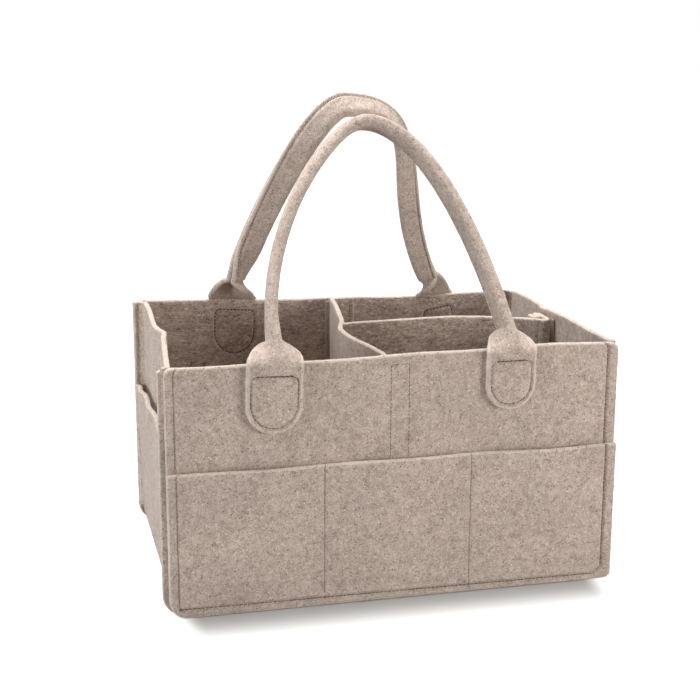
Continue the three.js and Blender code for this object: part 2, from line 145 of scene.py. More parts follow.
def woolFelt(name, look, comb=(1, 1, 1)):
    # Pressed wool felt, matt: dyed fibres of several shades lie at random, so it looks heathered.
    # On a combed side they lie along one direction, in wavy streaks
    material, tree, shader, place = newMaterial(name, look["surface"])

    def noise(size, at, output="Fac", **values):
        return addNode(tree, "TexNoise", {"Scale": 1 / (look[size] * mm), **values}, {"Vector": at}, output)

    def ranged(value, low, high, toLow, toHigh):
        limits = {"From Min": low, "From Max": high, "To Min": toLow, "To Max": toHigh}
        return addNode(tree, "MapRange", limits, {"Value": value})

    sway = noise("sway", place, "Color", Detail=1)
    swayed = addNode(tree, "VectorMath", {1: [look["swayBy"] * mm] * 3}, {0: sway, 2: place},
                     operation="MULTIPLY_ADD")
    drawn = addNode(tree, "Mapping", {"Scale": comb}, {"Vector": swayed})
    fibre = noise("fibre", drawn, Detail=3, Roughness=0.7, Distortion=1.2)
    clump = noise("clump", drawn, Detail=4, Roughness=0.65, Distortion=0.8)
    cloud = noise("cloud", place, Detail=2)
    fleck = addNode(tree, "TexVoronoi", {"Scale": 1 / (look["fleck"] * mm)}, {"Vector": drawn}).node.outputs
    tone = addNode(tree, "Math", {1: look["clumpShare"]}, {0: clump}, operation="MULTIPLY")
    tone = addNode(tree, "Math", {1: look["fibreShare"]}, {0: fibre, 2: tone}, operation="MULTIPLY_ADD")
    colour = addNode(tree, "ValToRGB", {}, {"Fac": tone})
    stops = colour.node.color_ramp.elements
    darkAt, baseAt, lightAt = look["stops"]
    stops[0].position, stops[0].color = darkAt, hexColour(look["dark"])
    stops[1].position, stops[1].color = lightAt, hexColour(look["light"])
    stops.new(baseAt).color = hexColour(look["base"])
    dice = addNode(tree, "SeparateColor", {}, {"Color": fleck["Color"]})
    spot = ranged(fleck["Distance"], *look["fleckEdge"], 0, 1)
    for fleckColour, low, high in look["flecks"]:
        drawnFleck = ranged(dice, low, high, 0, look["fleckStrength"])
        drawnFleck = addNode(tree, "Math", {}, {0: drawnFleck, 1: spot}, operation="MULTIPLY")
        colour = addNode(tree, "Mix", {7: hexColour(fleckColour)}, {0: drawnFleck, 6: colour}, 2, data_type="RGBA")
    shade = ranged(cloud, *look["cloudRange"], *look["cloudShade"])
    colour = addNode(tree, "VectorMath", {}, {0: colour, 1: shade}, operation="MULTIPLY")
    nap = addNode(tree, "Bump", {"Strength": look["bumpStrength"], "Distance": look["bump"] * mm},
                  {"Height": tone})
    tree.links.new(colour, shader.inputs["Base Color"])
    tree.links.new(nap, shader.inputs["Normal"])
    return material


threadLook = {"twist": 0.5, "surface": {"Roughness": 0.7}}


def sewingThread(name, base, dark):
    # Spun polyester thread, slightly glossy, with the shade of its twist
    material, tree, shader, place = newMaterial(name, threadLook["surface"])
    twist = addNode(tree, "TexNoise", {"Scale": 1 / (threadLook["twist"] * mm), "Detail": 3}, {"Vector": place})
    colour = addNode(tree, "Mix", {6: hexColour(dark), 7: hexColour(base)}, {0: twist}, 2, data_type="RGBA")
    tree.links.new(colour, shader.inputs["Base Color"])
    return material


nylonLook = {"bump": 0.4, "bumpStrength": 0.7, "surface": {"Roughness": 0.75}}


def nylonTape(name, base, dark, cell):
    # Nylon hook and loop tape: a close field of loops or hooks, darker between them
    material, tree, shader, place = newMaterial(name, nylonLook["surface"])
    field = addNode(tree, "TexVoronoi", {"Scale": 1 / (cell * mm)}, {"Vector": place}, "Distance")
    colour = addNode(tree, "Mix", {6: hexColour(base), 7: hexColour(dark)}, {0: field}, 2, data_type="RGBA")
    bump = {"Strength": nylonLook["bumpStrength"], "Distance": nylonLook["bump"] * mm}
    pile = addNode(tree, "Bump", bump, {"Height": field})
    tree.links.new(colour, shader.inputs["Base Color"])
    tree.links.new(pile, shader.inputs["Normal"])
    return material


feltFace = woolFelt("heathered wool felt", feltLook)
# The cut edge is paler than the face: partly the cut felt's own tone, partly a painted highlight on the rounded
# edges
feltCutWithHighlight = woolFelt("cut edge of wool felt, lighter as painted highlight", {**feltLook, "base": "#cabcb1", "dark": "#a1907f", "bump": 0.7})
# The combed side: streaks of fibre, and a darker tone that is painted shade for the insides and the dividers'
# fronts
combedShadedLook = {**feltLook, "base": "#ac9a8e", "dark": "#6d5c52", "light": "#ddd2ca", "fibre": 1.1}
feltCombedShaded = woolFelt("combed side of wool felt, darker as painted shade", combedShadedLook, (0.4, 1, 1))
# This thread is darker than the real one: partly its own colour, partly painted shade of the grooves and holes it
# lies in
thread = sewingThread("spun polyester thread, darkened as painted shade", "#5c4b40", "#3a2d26")
# Darker still, for the dots of the tabs' stitches on the inside, as painted shade of their holes
shadedBobbinThread = sewingThread("bobbin thread on the wrong side, darkened as painted shade", "#3a2d26", "#211812")
tapeThread = sewingThread("thread of the tapes", "#948377", "#75655a")
loopPile = nylonTape("brushed nylon loop tape", "#b0a196", "#8d7e73", 1.1)
hookField = nylonTape("moulded nylon hook tape", "#a89a8e", "#7d7066", 1.4)
print("materials made")


# Felt sheets: a grid is bent into place and thickened, thin where it is sewn and round at its cut edges

meshLines = {
    "fine": 1.0,
    "besideSewn": (-2.4, -1.5, -0.8, 0, 0.8, 1.5, 2.4),
    "insideEdges": (0.35, 0.9, 1.7, 2.6),
    "least": 0.3,
}
# Stitches press the felt: share of its thickness pulled in, how far that reaches, and share proud beside them
presses = {
    "plain": (0.55, 1.1, 0.19),
    "leftSeam": (0.4, 0.9, 0.19),
    "rightSeam": (0.7, 1.3, 0.19),
    "tape": (0.14, 1.1, 0.02),
    "pocketLeft": (0.45, 0.9, 0.19),
    "pocketLower": (0.75, 1.3, 0.19),
    "pocketUpright": (0.36, 0.9, 0.08),
    "divider": (0.25, 1.1, 0.19),
}
proudAt, proudOver = 2.8, 1.5  # mm from the stitches
sheet = {
    "thickness": felt,
    "lump": 0.45, "lumpSize": 8,  # height and length of the felt's unevenness
    "face": feltFace,
    # The rounded edges get the paler cut felt, partly a painted highlight
    "cut": feltCutWithHighlight,
    "cutShare": 0.75,  # of the rounded edge shows the paler cut felt, partly a painted highlight
    "edgeShare": 0.25, "mostShare": 1.2,  # of the thickness, at the very edge and where the felt stands proud
    "smoothTo": 60,  # degrees
}
lumps = bpy.data.textures.new("felt lumps", "CLOUDS")
lumps.noise_scale = sheet["lumpSize"] * mm
lumps.noise_depth = 2


def gridLines(start, end, step, sewn=(), fine=()):
    lines = list(np.linspace(start, end, max(2, round((end - start) / step) + 1)))
    for low, high in fine:
        lines += list(np.arange(low, high, meshLines["fine"]))
    for place in sewn:
        lines += [place + d for d in meshLines["besideSewn"]]
    for inset in meshLines["insideEdges"]:
        lines += [start + inset, end - inset]
    kept = [start]
    for line in sorted(lines):
        if line - kept[-1] > meshLines["least"] and end - line > meshLines["least"]:
            kept.append(line)
    return kept + [end]


def bothSides(inner, outer):  # the lines of an edge, beyond the inner ones at either side
    return [-line for line in reversed(outer)] + inner + outer


def lineDistance(u, v, lines):
    nearest = np.full(len(u), np.inf)
    for line in lines:
        for (u0, v0), (u1, v1) in zip(line[:-1], line[1:]):
            du, dv = u1 - u0, v1 - v0
            t = np.clip(((u - u0) * du + (v - v0) * dv) / (du * du + dv * dv), 0, 1)
            nearest = np.minimum(nearest, np.hypot(u - u0 - t * du, v - v0 - t * dv))
    return nearest


def pressed(*sewn):
    def share(u, v):
        left = np.ones(len(u))
        for kind, lines in sewn:
            depth, reach, proud = presses[kind]
            d = lineDistance(u, v, lines)
            left *= 1 - depth * np.exp(-(d / reach) ** 2) + proud * np.exp(-((d - proudAt) / proudOver) ** 2)
        return left
    return share


def feltSheet(name, across, along, place, share=None, edge=None, **changed):
    look = {**sheet, **changed}
    bpy.ops.mesh.primitive_grid_add(x_subdivisions=len(across) - 1, y_subdivisions=len(along) - 1, size=1)
    piece = bpy.context.object
    mesh = piece.data
    piece.name = mesh.name = name
    grid = np.empty(len(mesh.vertices) * 3)
    mesh.vertices.foreach_get("co", grid)
    grid = grid.reshape(-1, 3) + 0.5
    u = np.asarray(across)[np.rint(grid[:, 0] * (len(across) - 1)).astype(int)]
    v = np.asarray(along)[np.rint(grid[:, 1] * (len(along) - 1)).astype(int)]
    mesh.vertices.foreach_set("co", (place(u, v) * mm).ravel())
    inFrom = edge(u, v) if edge else np.minimum(np.minimum(u - across[0], across[-1] - u),
                                                np.minimum(v - along[0], along[-1] - v))
    roundness = edgeRound * look["thickness"] / felt
    rounded = np.sqrt(1 - (1 - np.clip(inFrom / roundness, 0, 1)) ** 2)
    shares = share(u, v) if share else np.ones(len(u))
    shares = shares * (look["edgeShare"] + (1 - look["edgeShare"]) * rounded)
    ply = piece.vertex_groups.new(name="ply")
    for index, weight in enumerate(np.clip(shares / look["mostShare"], 0, 1)):
        ply.add([index], float(weight), "REPLACE")
    for material in (look["face"], look["cut"], feltCombedShaded):
        mesh.materials.append(material)
    for polygon in mesh.polygons:  # the rounded edge is cut felt, paler: partly its own tone, partly a painted highlight
        polygon.material_index = int(np.mean(inFrom[list(polygon.vertices)]) < look["cutShare"] * roundness)
    solid = piece.modifiers.new("thickness", "SOLIDIFY")
    solid.thickness = look["thickness"] * look["mostShare"] * mm
    solid.offset = 0
    solid.use_quality_normals = True
    solid.vertex_group = "ply"
    uneven = piece.modifiers.new("uneven felt", "DISPLACE")
    uneven.texture = lumps
    uneven.texture_coords = "LOCAL"
    uneven.strength = look["lump"] * mm
    for modifier in ("thickness", "uneven felt"):
        bpy.ops.object.modifier_apply(modifier=modifier)
    piece.vertex_groups.clear()
    bpy.ops.object.shade_smooth_by_angle(angle=radians(look["smoothTo"]))
    return piece


combedShadedFrom = 0.85  # how squarely a face looks that way


def combAndShadeInside(piece, facing):
    # The inner side of a long panel, or the front of a divider, shows the combed felt in streaks. Its darker tone
    # is painted shade of the caddy's inside
    for polygon in piece.data.polygons:
        if polygon.material_index == 0 and polygon.normal.y * facing < -combedShadedFrom:
            polygon.material_index = 2


# Stitches: one is modelled and then repeated along each sewn line

stitch = {
    "length": 3.1, "pitch": 3.0, "width": 0.85, "height": 0.7,
    "dot": 2.7,  # length where a row shows as dots
    "wrongSide": 1.5,  # how many times as broad the dots of a row's wrong side are
    "fine": 0.6,  # and those of a tape's row
    "rowPitch": 0.4, "slopeStep": 0.2,
}
bpy.ops.mesh.primitive_uv_sphere_add(segments=6, ring_count=4, radius=0.5)
oneStitch = bpy.context.object
stitchShape = np.array([v.co for v in oneStitch.data.vertices])[:, [2, 0, 1]]
stitchShape = stitchShape * (1, stitch["width"], stitch["height"])
stitchFaces = [list(p.vertices) for p in oneStitch.data.polygons]
bpy.data.objects.remove(oneStitch)


def onFace(place, share, path, side):
    # Points and normals of a flat path on one face of a sheet
    path = resample(path, stitch["rowPitch"])
    u, v = path[:, 0], path[:, 1]
    step = stitch["slopeStep"]
    alongU = place(u + step, v) - place(u - step, v)
    alongV = place(u, v + step) - place(u, v - step)
    normal = np.cross(alongU, alongV)
    normal *= side / np.linalg.norm(normal, axis=1)[:, None]
    return place(u, v) + normal * (felt / 2 * share(u, v))[:, None], normal


def sewing(name, rows, material=thread, length=stitch["length"], broad=1):
    points, faces = [], []
    for path, normals in rows:
        reach = reachAlong(path)
        count = max(1, int(reach[-1] // stitch["pitch"]))
        middles = (np.arange(count) + 0.5) * reach[-1] / count
        half = length / 2
        at = [np.stack([np.interp(middles + d, reach, path[:, k]) for k in range(3)], 1) for d in (-half, half)]
        up = np.stack([np.interp(middles, reach, normals[:, k]) for k in range(3)], 1)
        run = at[1] - at[0]
        run /= np.linalg.norm(run, axis=1)[:, None]
        side = np.cross(up, run)
        side /= np.linalg.norm(side, axis=1)[:, None]
        up = np.cross(run, side)
        for k in range(count):
            first = len(points) * len(stitchShape)
            turn = np.stack([run[k], side[k], up[k]])
            points.append((at[0][k] + at[1][k]) / 2 + stitchShape * (length, broad, broad) @ turn)
            faces += [[first + i for i in face] for face in stitchFaces]
    mesh = bpy.data.meshes.new(name)
    mesh.from_pydata(np.concatenate(points) * mm, [], faces)
    piece = bpy.data.objects.new(name, mesh)
    bpy.context.scene.collection.objects.link(piece)
    mesh.materials.append(material)
    mesh.shade_smooth()
    return piece


def finishPiece(piece, body, nodes=()):
    if body:
        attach(piece, body)
    if nodes:
        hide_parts(*nodes)


# Long walls: a panel with a pocket panel sewn on, the same at the front and the back

walls = {
    "pocketTop": 106,
    "pocketStitchX": 54,
    "pocketPuff": 0.5, "puffPower": 0.8, "puffZ": (5, 16),  # of each pocket between its seams
    "pocketSwell": 1.3, "swellFrom": 20,  # of its mouth
    "pocketFloor": (6.5, 4.4),  # the lower seam's stitches at the left and at the right
    "seamEnd": 2,  # the upper stitches start and end this far from the mouth and the rim
    "tapeStitchX": (-5.4, 8),
    "tapeZ": (32, 172.8),
    "step": 2.2,
    "floorRows": (1.8, 0.55, 0.25),  # close rows at the lower seam: the first, their pitch and least gap
    "floorFineZ": (4, 16),
    "topCorners": {"front": (5.5, 5.5), "back": (5.5, 8)},  # radius of the left and right ones
    "mouthCorners": (2, 2),
    # How much higher or lower the felt of the rim is than cut to size, from left to right
    "rims": {
        "front": [(-164, 0), (-97, 0), (0, 0.7), (40, 1.2), (80, 2), (115, 3), (164, 2)],
        "back": [(-164, 5), (-97, 2.6), (0, -0.4), (60, -2), (95, -2.2), (140, -0.6), (164, 0.4)],
    },
    "rimFrom": 100,
    "mouthWaveFrom": 80, "mouthWaveShift": 40,
    # The walls bulge between their seams, in waves: height, length across and up, and start
    "bulge": 0.55, "bulgeX": (156, 118), "bulgeZ": (8, 110),
    "bulgeWaves": [(0.35, 33, 47, 0.6), (0.2, -58, 23, 2.1)],
}
# The flat ends of the handle strips: middle at the free line, half width, length below it, how far below it the
# stitches start, and the lean to the left in degrees
tabs = {
    "freeZ": 173.5,
    "stitchIn": 3.6,
    "stitchUp": 0.4,  # how much further in the stitches are at the round end
    "stitchCorner": 3, "cornerCut": 1,
    "front": [{"x": -88.7, "half": 20, "length": 43, "drop": 2.5, "turn": -1.6},
              {"x": 82.2, "half": 18.6, "length": 36.5, "drop": 0.9, "turn": 0}],
    "back": [{"x": -81.2, "half": 20, "length": 42, "drop": 2.5, "turn": -1.5},
             {"x": 93, "half": 16.4, "length": 40, "drop": 5.5, "turn": 9}],
    "fineX": (-22, 24),  # the panel's mesh is fine here, for the stitches
    "fineZ": (131, 179),
}


def wallBulge(x, z):
    middle = smooth(*walls["bulgeX"], np.abs(x)) * smooth(*walls["bulgeZ"], z)
    waves = sum(high * np.sin(x / across + z / up + start) for high, across, up, start in walls["bulgeWaves"])
    return middle * (walls["bulge"] + waves)


def cornerRadius(u, v, top, topCorners):
    low = np.where(u < 0, leftCorner, rightCorner)
    return np.where(v < top / 2, low, np.where(u < 0, *topCorners))


def trimmed(u, v, top, topCorners):
    # Rounds the corners of a long panel: how far from the middle a point across it really is
    radius = cornerRadius(u, v, top, topCorners)
    fromEnd = np.clip(radius - np.minimum(v, top - v), 0, radius)
    return u * (halfWidth - radius + np.sqrt(radius ** 2 - fromEnd ** 2)) / halfWidth


def widened(x, facing):
    left = backLeftMargin * (facing > 0)
    return x + rightMargin * smooth(seamX + 1, halfWidth, x) - left * smooth(seamX + 1, halfWidth, -x)


def panelEdge(top, topCorners):
    def edge(u, v):
        radius = cornerRadius(u, v, top, topCorners)
        inX, inZ = halfWidth - np.abs(trimmed(u, v, top, topCorners)), np.minimum(v, top - v)
        corner = radius - np.hypot(np.maximum(radius - inX, 0), np.maximum(radius - inZ, 0))
        return np.where((inX < radius) & (inZ < radius), corner, np.minimum(inX, inZ))
    return edge


def panelRows(top, topCorners, fine):
    # Rows that follow the round corners, and lie close where the lower seam is pressed in
    radius, topRadius = leftCorner, max(topCorners)
    first, pitch, least = walls["floorRows"]
    low = radius * (1 - np.cos(np.linspace(0, pi / 2, 10)))
    seam = [row for row in np.arange(first, radius, pitch) if np.abs(low - row).min() > least]
    high = top - topRadius * (1 - np.sin(np.linspace(0, pi / 2, 7)))
    return [*sorted([*low, *seam]), *gridLines(radius, top - topRadius, walls["step"], (), fine)[1:-1], *high]


def tabStitches(tab):
    # The D of stitches: across the strip and up from its free line
    half, low = tab["half"] - tabs["stitchIn"], tabs["stitchIn"] + tabs["stitchUp"] - tab["length"]
    top, corner, cut = -tab["drop"], tabs["stitchCorner"], tabs["cornerCut"]
    lower = [(half * cos(a), low + half + half * sin(a)) for a in np.linspace(pi, 2 * pi, 17)]
    upper = [(half, top - corner), (half - cut, top - cut), (half - corner, top)]
    upper += [(-x, up) for x, up in reversed(upper)]
    return lower + upper + lower[:1]


def tabStitchesOnWall(tab):
    c, s = cos(radians(tab["turn"])), sin(radians(tab["turn"]))
    return [(tab["x"] + x * c - up * s, tabs["freeZ"] + x * s + up * c) for x, up in tabStitches(tab)]


(tapeLeft, tapeRight), (tapeLow, tapeTop) = walls["tapeStitchX"], walls["tapeZ"]
tapeLine = [(tapeLeft, tapeLow), (tapeLeft, tapeTop), (tapeRight, tapeTop), (tapeRight, tapeLow)]
seamLines = [[(side * seamX, 8), (side * seamX, height)] for side in (-1, 1)]
(leftZ, rightZ), mouthZ, uprightX = (walls[k] for k in ("pocketFloor", "pocketTop", "pocketStitchX"))
leftLine = [(-seamX, mouthZ), (-seamX, leftZ - 1.5)]  # it and the lower seam run past each other
lowerLine = [(-seamX - 1, leftZ), (seamX - 6, rightZ), (seamX, rightZ + 5), (seamX, mouthZ)]
uprightLines = [[(side * uprightX, rightZ), (side * uprightX, mouthZ)] for side in (-1, 1)]


def longWall(end, facing):
    tabLines = [tabStitchesOnWall(tab) for tab in tabs[end]]
    corners, mouthCorners = walls["topCorners"][end], walls["mouthCorners"]
    sewnX = np.array([-seamX, -uprightX, uprightX, seamX])

    def panelPlace(u, v):
        x = trimmed(u, v, height, corners)
        y = facing * (plyMiddle(1) + wallBulge(x, v))
        rim = np.interp(x, *zip(*walls["rims"][end])) * smooth(walls["rimFrom"], height, v)
        z = v + rimWave(x, smooth(rimWaveFrom, height, v)) + rim
        return np.stack([widened(x, facing), y, z], 1)

    def pocketPlace(u, v):
        x = trimmed(u, v, mouthZ, mouthCorners)
        cell = np.clip(np.searchsorted(sewnX, u) - 1, 0, 2)
        across = np.sin(pi * np.clip((u - sewnX[cell]) / (sewnX[cell + 1] - sewnX[cell]), 0, 1))
        puff = walls["pocketPuff"] * across ** walls["puffPower"] * smooth(*walls["puffZ"], v)
        swell = walls["pocketSwell"] * smooth(walls["swellFrom"], mouthZ, v) * across ** 2
        y = facing * (plyMiddle(0) + wallBulge(x, v) + puff + swell)
        z = v + rimWave(x + walls["mouthWaveShift"], smooth(walls["mouthWaveFrom"], mouthZ, v))
        return np.stack([widened(x, facing), y, z], 1)

    panelShare = pressed(("leftSeam", seamLines[:1]), ("rightSeam", seamLines[1:]), ("plain", tabLines),
                         ("tape", [tapeLine]))
    pocketShare = pressed(("pocketLeft", [leftLine]), ("pocketLower", [lowerLine]), ("pocketUpright", uprightLines))

    tabSpans = [[tab["x"] + x for x in tabs["fineX"]] for tab in tabs[end]]
    columns = gridLines(-halfWidth, halfWidth, walls["step"], [-seamX, tapeLeft, tapeRight, seamX], tabSpans)
    panel = feltSheet(f"{end}_panel_felt", columns, panelRows(height, corners, [tabs["fineZ"]]),
                      panelPlace, panelShare, panelEdge(height, corners))
    combAndShadeInside(panel, facing)
    finishPiece(panel, "caddy", [f"{end}_panel"])

    pocket = feltSheet(f"{end}_pocket_felt", gridLines(-halfWidth, halfWidth, walls["step"], sewnX),
                       panelRows(mouthZ, mouthCorners, [walls["floorFineZ"]]), pocketPlace, pocketShare,
                       panelEdge(mouthZ, mouthCorners))
    finishPiece(pocket, "caddy", [f"{end}_pocket_panel"])

    low, top = mouthZ + walls["seamEnd"], height - walls["seamEnd"]
    upper = [[(side * seamX, low), (side * seamX, top)] for side in (-1, 1)]
    shown = np.maximum(tapeLine, (-halfWidth, low))
    left, lower, *uprights = (onFace(pocketPlace, pocketShare, line, -facing)
                              for line in (leftLine, lowerLine, *uprightLines))
    upperLeft, upperRight, tape = (onFace(panelPlace, panelShare, line, -facing) for line in (*upper, shown))
    inside = [onFace(panelPlace, panelShare, line, facing) for line in tabLines]
    for name, rows, *how in (("fine", [left, *uprights, upperLeft], tapeThread),
                             ("wall", [lower, upperRight]),
                             ("tab", inside, shadedBobbinThread, stitch["dot"], stitch["wrongSide"]),
                             ("tape", [tape], thread, stitch["dot"], stitch["fine"])):
        finishPiece(sewing(f"{end}_{name}_stitching", rows, *how), "caddy")


longWall("front", -1)
longWall("back", 1)
print("long walls made")


# Gusset: left end, base and right end in one strip, its long edges turned out into the seams

gusset = {
    "step": 2.6, "edgeStep": 1.2,
    "edge": 8.2,  # straight part of the turned-out edges
    "edgeFine": 5,
    "turnedOut": (3, 10.8),
    "cornerLip": (1.6, -3),  # the front left edge stands further out, past the panel, and the back left one less
    "edgeDrop": 3.5,  # the turned-out edges are lower than the rim, but not the back left one
    "edgeDropOver": 14,
    "backLift": 4.5,  # the back left corner is pulled up
    "backLiftY": (45, 100),
    "backDrop": 8,  # and the turned-out edge of the right one sinks
    "backDropOut": (1, 6),
    "liftFrom": 100,
    "backBend": 3.9,  # the edges at the back turn out in a wider curve
    # How much higher the rim of the right end wall is than cut to size, from front to back
    "rightLift": [(-97, 2.2), (-40, 2.8), (10, 2.2), (50, 2.3), (85, 0.6), (97, 0)],
    "bowZ": (11, 90),
    "bowOut": (2, 8),  # where the edges turn out, the bow fades
    "flareZ": (118, 165),  # above the end pockets the walls also lean outwards
    "splay": 9,  # degrees that the seam edges open
    "splayTop": 20, "splayZ": (118, 150),
    "leastZ": 2, "waveShift": 20,
    # How far the rim of each end wall stands in (+) or out (-), from the front seam to the back one
    "leftRim": [(-97, -4.5), (-70, -2.3), (-46, 0), (-12, 2.8), (4, 5.4), (18, 2.4), (31, 1), (70, 2), (97, 1)],
    "rightRim": [(-97, -5.5), (-24, -3.4), (8, -1.2), (18, 1), (27, -2.2), (50, -3.4), (80, -4.4), (97, -4)],
    "rimSoft": 5,
}
fineY = np.linspace(-110, 110, 441)
rims = [soften(np.interp(fineY, *zip(*gusset[k])), gusset["rimSoft"]) for k in ("leftRim", "rightRim")]


def wallBow(x, y, z):
    bow = np.where(x < 0, np.interp(y, fineY, rims[0]), np.interp(y, fineY, rims[1]))
    return np.maximum(bow, 0) * smooth(*gusset["bowZ"], z) + np.minimum(bow, 0) * smooth(*gusset["flareZ"], z)


def turnedEdge(a, flatHalf, splay, wider):
    # Across a strip whose edges turn out: place in depth and distance out from the wall
    radius = seamTurn + wider * (a > 0)
    flatHalf = flatHalf - wider * (a > 0)
    half = np.abs(a)
    full = pi / 2 + np.radians(splay)
    angle = np.clip((half - flatHalf) / radius, 0, full)
    beyond = np.maximum(half - flatHalf - radius * full, 0)
    y = np.minimum(half, flatHalf) + radius * np.sin(angle) + beyond * np.cos(angle)
    out = radius * (1 - np.cos(angle)) + beyond * np.sin(angle)
    return np.sign(a) * y, out


turnLength = baseTurn * pi / 2
baseLength = 2 * (endWallX - baseTurn)
gussetLength = 2 * gussetDrop + 2 * turnLength + baseLength
gussetFlat = plyMiddle(2) - seamTurn
gussetHalf = gussetFlat + seamTurn * pi / 2 + gusset["edge"]


def gussetLine(b):
    # Down the left end, along the base and up the right end: place and outward direction
    mirrored = np.where(b > gussetLength / 2, gussetLength - b, b)
    side = np.where(b > gussetLength / 2, 1.0, -1.0)
    angle = np.clip((mirrored - gussetDrop) / baseTurn, 0, pi / 2)
    onBase = np.maximum(mirrored - gussetDrop - turnLength, 0)
    x = endWallX - baseTurn * (1 - np.cos(angle)) - onBase
    z = height - np.minimum(mirrored, gussetDrop) - baseTurn * np.sin(angle)
    return side * x, z, side * np.cos(angle), -np.sin(angle)


def gussetPlace(u, v):
    x, z, outX, outZ = gussetLine(v)
    atLeft, atRight = np.maximum(-outX, 0), np.maximum(outX, 0)
    splay = gusset["splay"] + (gusset["splayTop"] - gusset["splay"]) * smooth(*gusset["splayZ"], z)
    y, out = turnedEdge(u, gussetFlat, splay, gusset["backBend"])
    turned = smooth(*gusset["turnedOut"], out)
    corner = gusset["backLift"] * smooth(*gusset["backLiftY"], y) * atLeft
    corner = corner + np.interp(y, *zip(*gusset["rightLift"])) * (1 - turned) * atRight
    corner = corner - gusset["backDrop"] * smooth(*gusset["backDropOut"], out) * (y > 0) * atRight
    lift = corner * smooth(gusset["liftFrom"], height, z)
    lowered = turned * ((y < 0) | (x > 0)) * smooth(height - gusset["edgeDropOver"], height, z)
    lift = lift - gusset["edgeDrop"] * lowered
    lip = np.where(y < 0, *gusset["cornerLip"]) * turned * atLeft
    out = out + lip - wallBow(x, y, z) * np.abs(outX) * (1 - smooth(*gusset["bowOut"], out))
    wave = rimWave(y + gusset["waveShift"], smooth(rimWaveFrom, height, z)) * np.abs(outX)
    return np.stack([x + outX * out, y, np.maximum(z + outZ * out + lift + wave, gusset["leastZ"])], 1)


gussetAcross = bothSides(gridLines(-gussetFlat, gussetFlat, gusset["step"], (),
                                   [(gussetFlat - gusset["edgeFine"], gussetFlat)])[1:-1],
                         gridLines(gussetFlat, gussetHalf, gusset["edgeStep"]))
gussetAlong = gridLines(0, gussetLength, gusset["step"], (),
                        [(t, t + turnLength) for t in (gussetDrop, gussetLength - gussetDrop - turnLength)])
piece = feltSheet("gusset_felt", gussetAcross, gussetAlong, gussetPlace)
finishPiece(piece, "caddy", ["gusset"])
print("gusset made")


# End pockets: sewn into the corner seams and along their lower edge

pockets = {
    "low": 13,
    "top": 120,
    "riseFrom": 33,  # up from here they leave the wall
    "waveFrom": 90,
    "step": 2.4,
    "edge": 2.6,
    "stitchUp": 4, "stitchIn": 3,
    "belly": 0.3, "bellyWave": 17,
    "backBend": 2.2,
    "backLip": -2.4,  # the back left edge stands out less
    "backLipOut": (1, 4),
    "mouthTilt": 3.9,  # the mouth is higher at the front seam and lower at the back one
    # The mouth in plan: how far it stands off the line of the wall, from the front seam to the back one
    "mouth": [(-97, 5.2), (-86, 6.8), (-72, 7.4), (-56, 6), (-30, 4.6), (-8, 4.4), (18, 6.6), (42, 4.9), (62, 4.6),
              (78, 7.2), (97, 5.4)],
    "mouthSoft": 8,
}
pocketFlat = plyMiddle(3) - seamTurn
pocketHalf = pocketFlat + seamTurn * pi / 2 + pockets["edge"]
mouthOut = soften(np.interp(fineY, *zip(*pockets["mouth"])), pockets["mouthSoft"])


def endPocket(hand, side):
    low, top = pockets["low"], pockets["top"]

    def place(u, v):
        rise = smooth(pockets["riseFrom"], top, v)
        y, out = turnedEdge(u, pocketFlat, gusset["splay"], pockets["backBend"])
        belly = pockets["belly"] * np.clip(np.cos(pi * y / (2 * pocketFlat)), 0, 1)
        plain = plyPitch + belly * (1 + np.sin(v / pockets["bellyWave"] + side))
        lip = pockets["backLip"] * smooth(*pockets["backLipOut"], out) * (y > 0) * (side < 0)
        out = out + lip + plain * (1 - rise) + np.interp(y, fineY, mouthOut) * rise
        z = v + rimWave(y, smooth(pockets["waveFrom"], top, v)) - pockets["mouthTilt"] * y / pocketFlat * rise
        return np.stack([side * (endWallX + out), y, z], 1)

    across = bothSides(gridLines(-pocketFlat, pocketFlat, pockets["step"])[1:-1],
                       gridLines(pocketFlat, pocketHalf, gusset["edgeStep"]))
    sewnZ, sewnY = low + pockets["stitchUp"], pocketFlat - pockets["stitchIn"]
    line = [(-sewnY, sewnZ), (sewnY, sewnZ)]
    share = pressed(("plain", [line]))
    along = gridLines(low, top, pockets["step"], [sewnZ])
    piece = feltSheet(f"{hand}_end_pocket_felt", across, along, place, share)
    finishPiece(piece, "caddy", [f"{hand}_end_pocket"])
    finishPiece(sewing(f"{hand}_end_pocket_stitching", [onFace(place, share, line, side)]), "caddy")


endPocket("left", -1)
endPocket("right", 1)
print("end pockets made")


# Handles: a strip sewn flat at both ends, bent over the rim and folded in half along the arch

strip = {
    "half": 20,  # half the width that it is cut to
    "widthOver": (0.45, 0.85),  # its width changes between these shares of its length
    "freeDrop": 6.5,
    "foldRadius": 2.35,
    "domePower": 0.48,  # the strip closes with the outline of a dome
    "rimBend": 10, "rimGap": 0.3,
    "legStart": 8,
    "lineSoft": 14, "slopeSoft": 5,
    "squareOver": (30, 6),  # above the rim, where it squares up to its tab
    "bulgeOver": (40, 0),  # and where it follows the bulge of the wall
    "crownRollOver": 80,
    "stitchIn": 3.6,  # from the raw edges
    "lockIn": 7, "lockUp": 0.55,  # a second row at the top of each tab's stitches, in from the edges and up
    "stitchFromKnot": 2,
    "hingeBend": (-5, 6),  # below and above the free line
    "step": 2.0,
    "fineAcross": 1.1,
    "fineOver": 42,  # length past each tab where the mesh is fine
    "endGap": 0.02,  # the very ends would have no width
    # More of a strip's rounded edge gets the paler cut felt, a painted highlight on its lips
    "lump": 0.35, "cutShare": 1.3,
}
